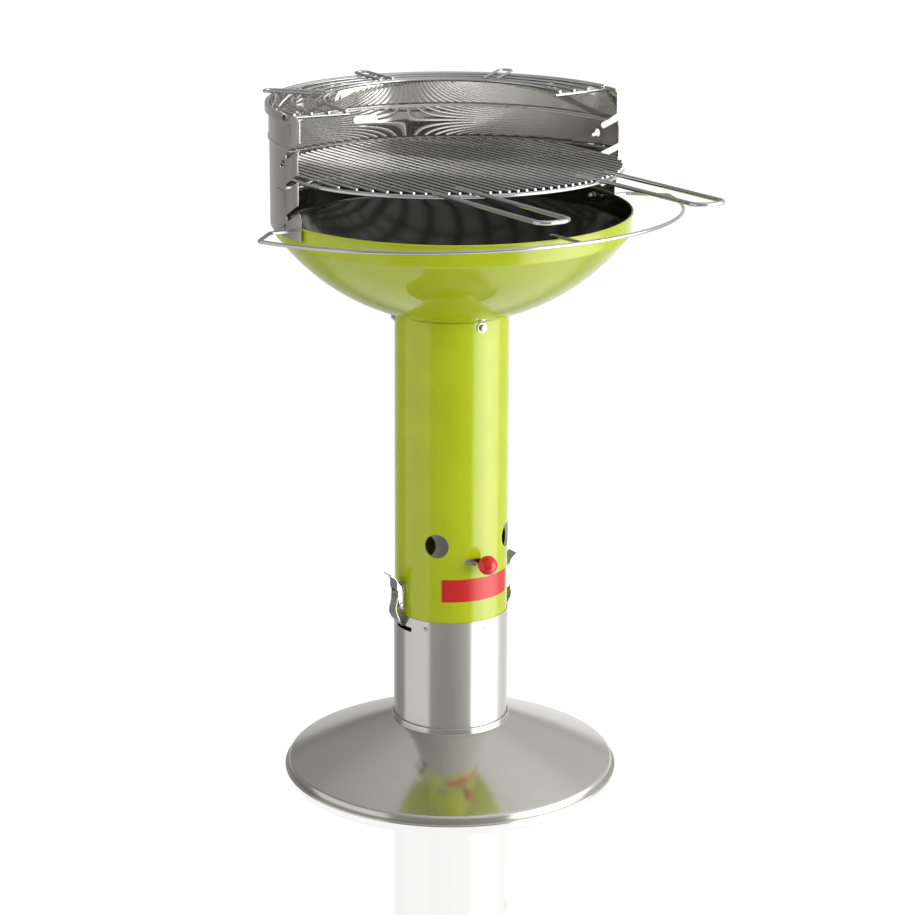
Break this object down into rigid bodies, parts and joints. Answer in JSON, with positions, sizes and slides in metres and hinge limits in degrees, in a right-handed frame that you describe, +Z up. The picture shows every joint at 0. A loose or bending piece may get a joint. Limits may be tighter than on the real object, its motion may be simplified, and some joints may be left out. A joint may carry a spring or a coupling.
{
  "type": "pillar charcoal grill",
  "caption": "Charcoal grill with a dished bowl on a tubular pillar, a turning air ring, latched ash pot, half-round windshield, slotted grate levels and a warming rack.",
  "frame": {"origin": "On the column's axis, in the floor plane under the foot.", "axes": "+Z up, -Y towards the user and the grate's handles, +X to the user's right."},
  "size_m": [0.6574, 0.7325, 0.9863],
  "materials": {
    "foot_steel": "satin",
    "pot_steel": "brushed",
    "lime_enamel": "gloss",
    "ring_steel": "satin",
    "red_plastic": "gloss",
    "plate_red": "satin",
    "latch_steel": "polished",
    "fastener_steel": "plain",
    "shield_steel": "mirror inside, satin outside",
    "wire_chrome": "bright",
    "iron": "matt",
    "stem_steel": "dark"
  },
  "bodies": {
    "stand": {"foot": "foot_steel", "ash_pot": "pot_steel", "pot_bolts": "fastener_steel", "pot_nuts": "fastener_steel", "column": "lime_enamel", "badge_plate": "plate_red", "latch_base_left": "latch_steel", "latch_pivot_left": "latch_steel", "latch_base_right": "latch_steel", "latch_pivot_right": "latch_steel", "latch_rivets": "fastener_steel", "bowl": "lime_enamel", "bowl_screws": "fastener_steel", "bowl_washers": "fastener_steel", "bowl_nuts": "fastener_steel", "windshield": "shield_steel", "shield_bolts": "fastener_steel", "shield_spacers": "fastener_steel", "shield_nuts": "fastener_steel"},
    "air_damper": {"air_ring": "ring_steel", "air_knob_stem": "stem_steel", "air_knob": "red_plastic"},
    "lever_left": {"latch_lever_left": "latch_steel", "latch_hook_pin_left": "fastener_steel"},
    "hook_left": {"latch_hook_left": "latch_steel"},
    "lever_right": {"latch_lever_right": "latch_steel", "latch_hook_pin_right": "fastener_steel"},
    "hook_right": {"latch_hook_right": "latch_steel"},
    "charcoal_tray": {"charcoal_grate": "iron"},
    "cooking_grate": {"grate_rim": "wire_chrome", "grate_bars": "wire_chrome", "grate_supports": "wire_chrome", "grate_handle_left": "wire_chrome", "grate_handle_right": "wire_chrome"},
    "warming_rack": {"rack_inner_hoop": "wire_chrome", "rack_hoops": "wire_chrome", "rack_end_wires": "wire_chrome", "rack_hooks": "wire_chrome"},
    "tool_ring": {"utensil_ring": "wire_chrome", "ring_stub": "wire_chrome"}
  },
  "joints": [
    {"name": "air_ring_turn", "type": "hinge", "parent": "stand", "child": "air_damper", "pos_m": [0, 0, 0.335], "axis": [0, 0, 1], "range_deg": [-13.4, 13.4]},
    {"name": "latch_left", "type": "hinge", "parent": "stand", "child": "lever_left", "pos_m": [-0.0881, 0, 0.2625], "axis": [0, -1, 0], "range_deg": [0, 105]},
    {"name": "hook_left_swing", "type": "hinge", "parent": "lever_left", "child": "hook_left", "pos_m": [-0.0907, 0, 0.2765], "axis": [0, -1, 0], "range_deg": [-112, 0]},
    {"name": "latch_right", "type": "hinge", "parent": "stand", "child": "lever_right", "pos_m": [0.0881, 0, 0.2625], "axis": [0, 1, 0], "range_deg": [0, 105]},
    {"name": "hook_right_swing", "type": "hinge", "parent": "lever_right", "child": "hook_right", "pos_m": [0.0907, 0, 0.2765], "axis": [0, 1, 0], "range_deg": [-112, 0]},
    {"name": "charcoal_grate_lift", "type": "slide", "parent": "stand", "child": "charcoal_tray", "axis": [0, 0, 1], "range_m": [0, 0.12]},
    {"name": "cooking_grate_draw", "type": "slide", "parent": "stand", "child": "cooking_grate", "axis": [0, -0.8988, 0.4384], "range_m": [0, 0.036]},
    {"name": "warming_rack_lift", "type": "slide", "parent": "stand", "child": "warming_rack", "axis": [0, 0, 1], "range_m": [0, 0.06]},
    {"name": "tool_ring_tilt", "type": "hinge", "parent": "stand", "child": "tool_ring", "pos_m": [0, -0.005, 0.8245], "axis": [-1, 0, 0], "range_deg": [0, 10]}
  ],
  "couplings": [
    {"joint": "hook_left_swing", "follows": "latch_left", "ratio": -1.05},
    {"joint": "hook_right_swing", "follows": "latch_right", "ratio": -1.05}
  ]
}
